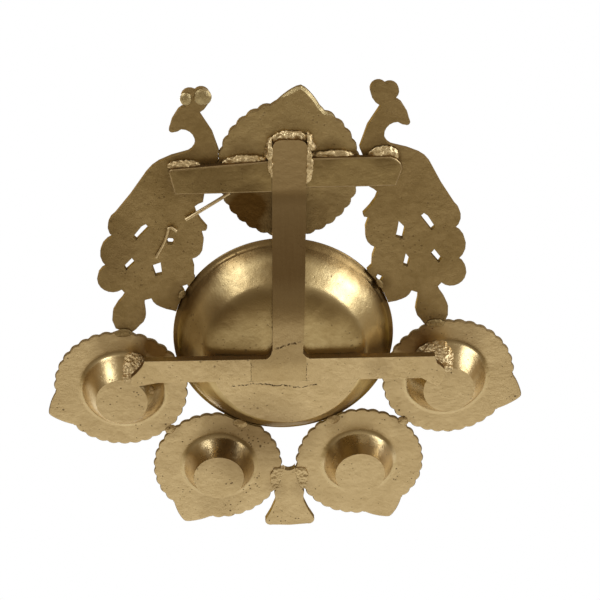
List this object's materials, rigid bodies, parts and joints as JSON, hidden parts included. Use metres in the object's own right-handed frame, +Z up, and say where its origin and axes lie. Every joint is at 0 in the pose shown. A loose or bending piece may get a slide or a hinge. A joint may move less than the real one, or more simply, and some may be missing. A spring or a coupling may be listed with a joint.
{
  "type": "decorative diya bowl",
  "caption": "Brass lamp tray: a round urli bowl ringed by leaf shaped oil lamp cups, pierced peacocks and a tall leaf, brazed to a flat bar frame that is also its foot.",
  "frame": {"origin": "middle of the tray's footprint (middle of its bounding box) on the table that it rests on", "axes": "+Z up out of the open bowl and cups, +Y towards the peacocks and the tall leaf at the back, +X to the right of someone who stands in front of the tray"},
  "size_m": [0.254, 0.2624, 0.028],
  "materials": {
    "brass_polished": "polished, slightly tarnished",
    "brass_ground": "sand cast and ground, satin",
    "brass_cast": "sand cast, dull",
    "brass_bar": "ground flat bar, satin",
    "brass_braze": "rough braze"
  },
  "bodies": {
    "root": {"urli_bowl": "brass_polished", "diya_side_right": "brass_ground", "diya_front_right": "brass_ground", "diya_front_left": "brass_ground", "diya_side_left": "brass_ground", "back_leaf": "brass_cast", "peacock_left": "brass_cast", "peacock_right": "brass_cast", "bell_finial": "brass_ground", "spine_bar": "brass_bar", "lower_crossbar_left": "brass_bar", "lower_crossbar_right": "brass_bar", "base_pad": "brass_bar", "upper_arm_left": "brass_bar", "upper_arm_right": "brass_bar", "brace_rod": "brass_braze", "repair_wire": "brass_braze", "braze_spine_top": "brass_braze", "braze_root_right": "brass_braze", "braze_root_left": "brass_braze", "braze_arm_leaf_right": "brass_braze", "braze_arm_peacock_right": "brass_braze", "braze_arm_leaf_left": "brass_braze", "braze_arm_peacock_left": "brass_braze", "braze_bowl_side_right": "brass_braze", "braze_bowl_front_right": "brass_braze", "braze_bowl_front_left": "brass_braze", "braze_bowl_side_left": "brass_braze", "braze_diyas_left": "brass_braze", "braze_diyas_right": "brass_braze", "braze_finial_left": "brass_braze", "braze_finial_right": "brass_braze", "braze_tail_diya_left": "brass_braze", "braze_tail_diya_right": "brass_braze", "braze_tail_bowl_left": "brass_braze", "braze_tail_bowl_right": "brass_braze", "braze_cup_right": "brass_braze", "braze_cup_left": "brass_braze", "braze_splash_right": "brass_braze"}
  },
  "joints": []
}
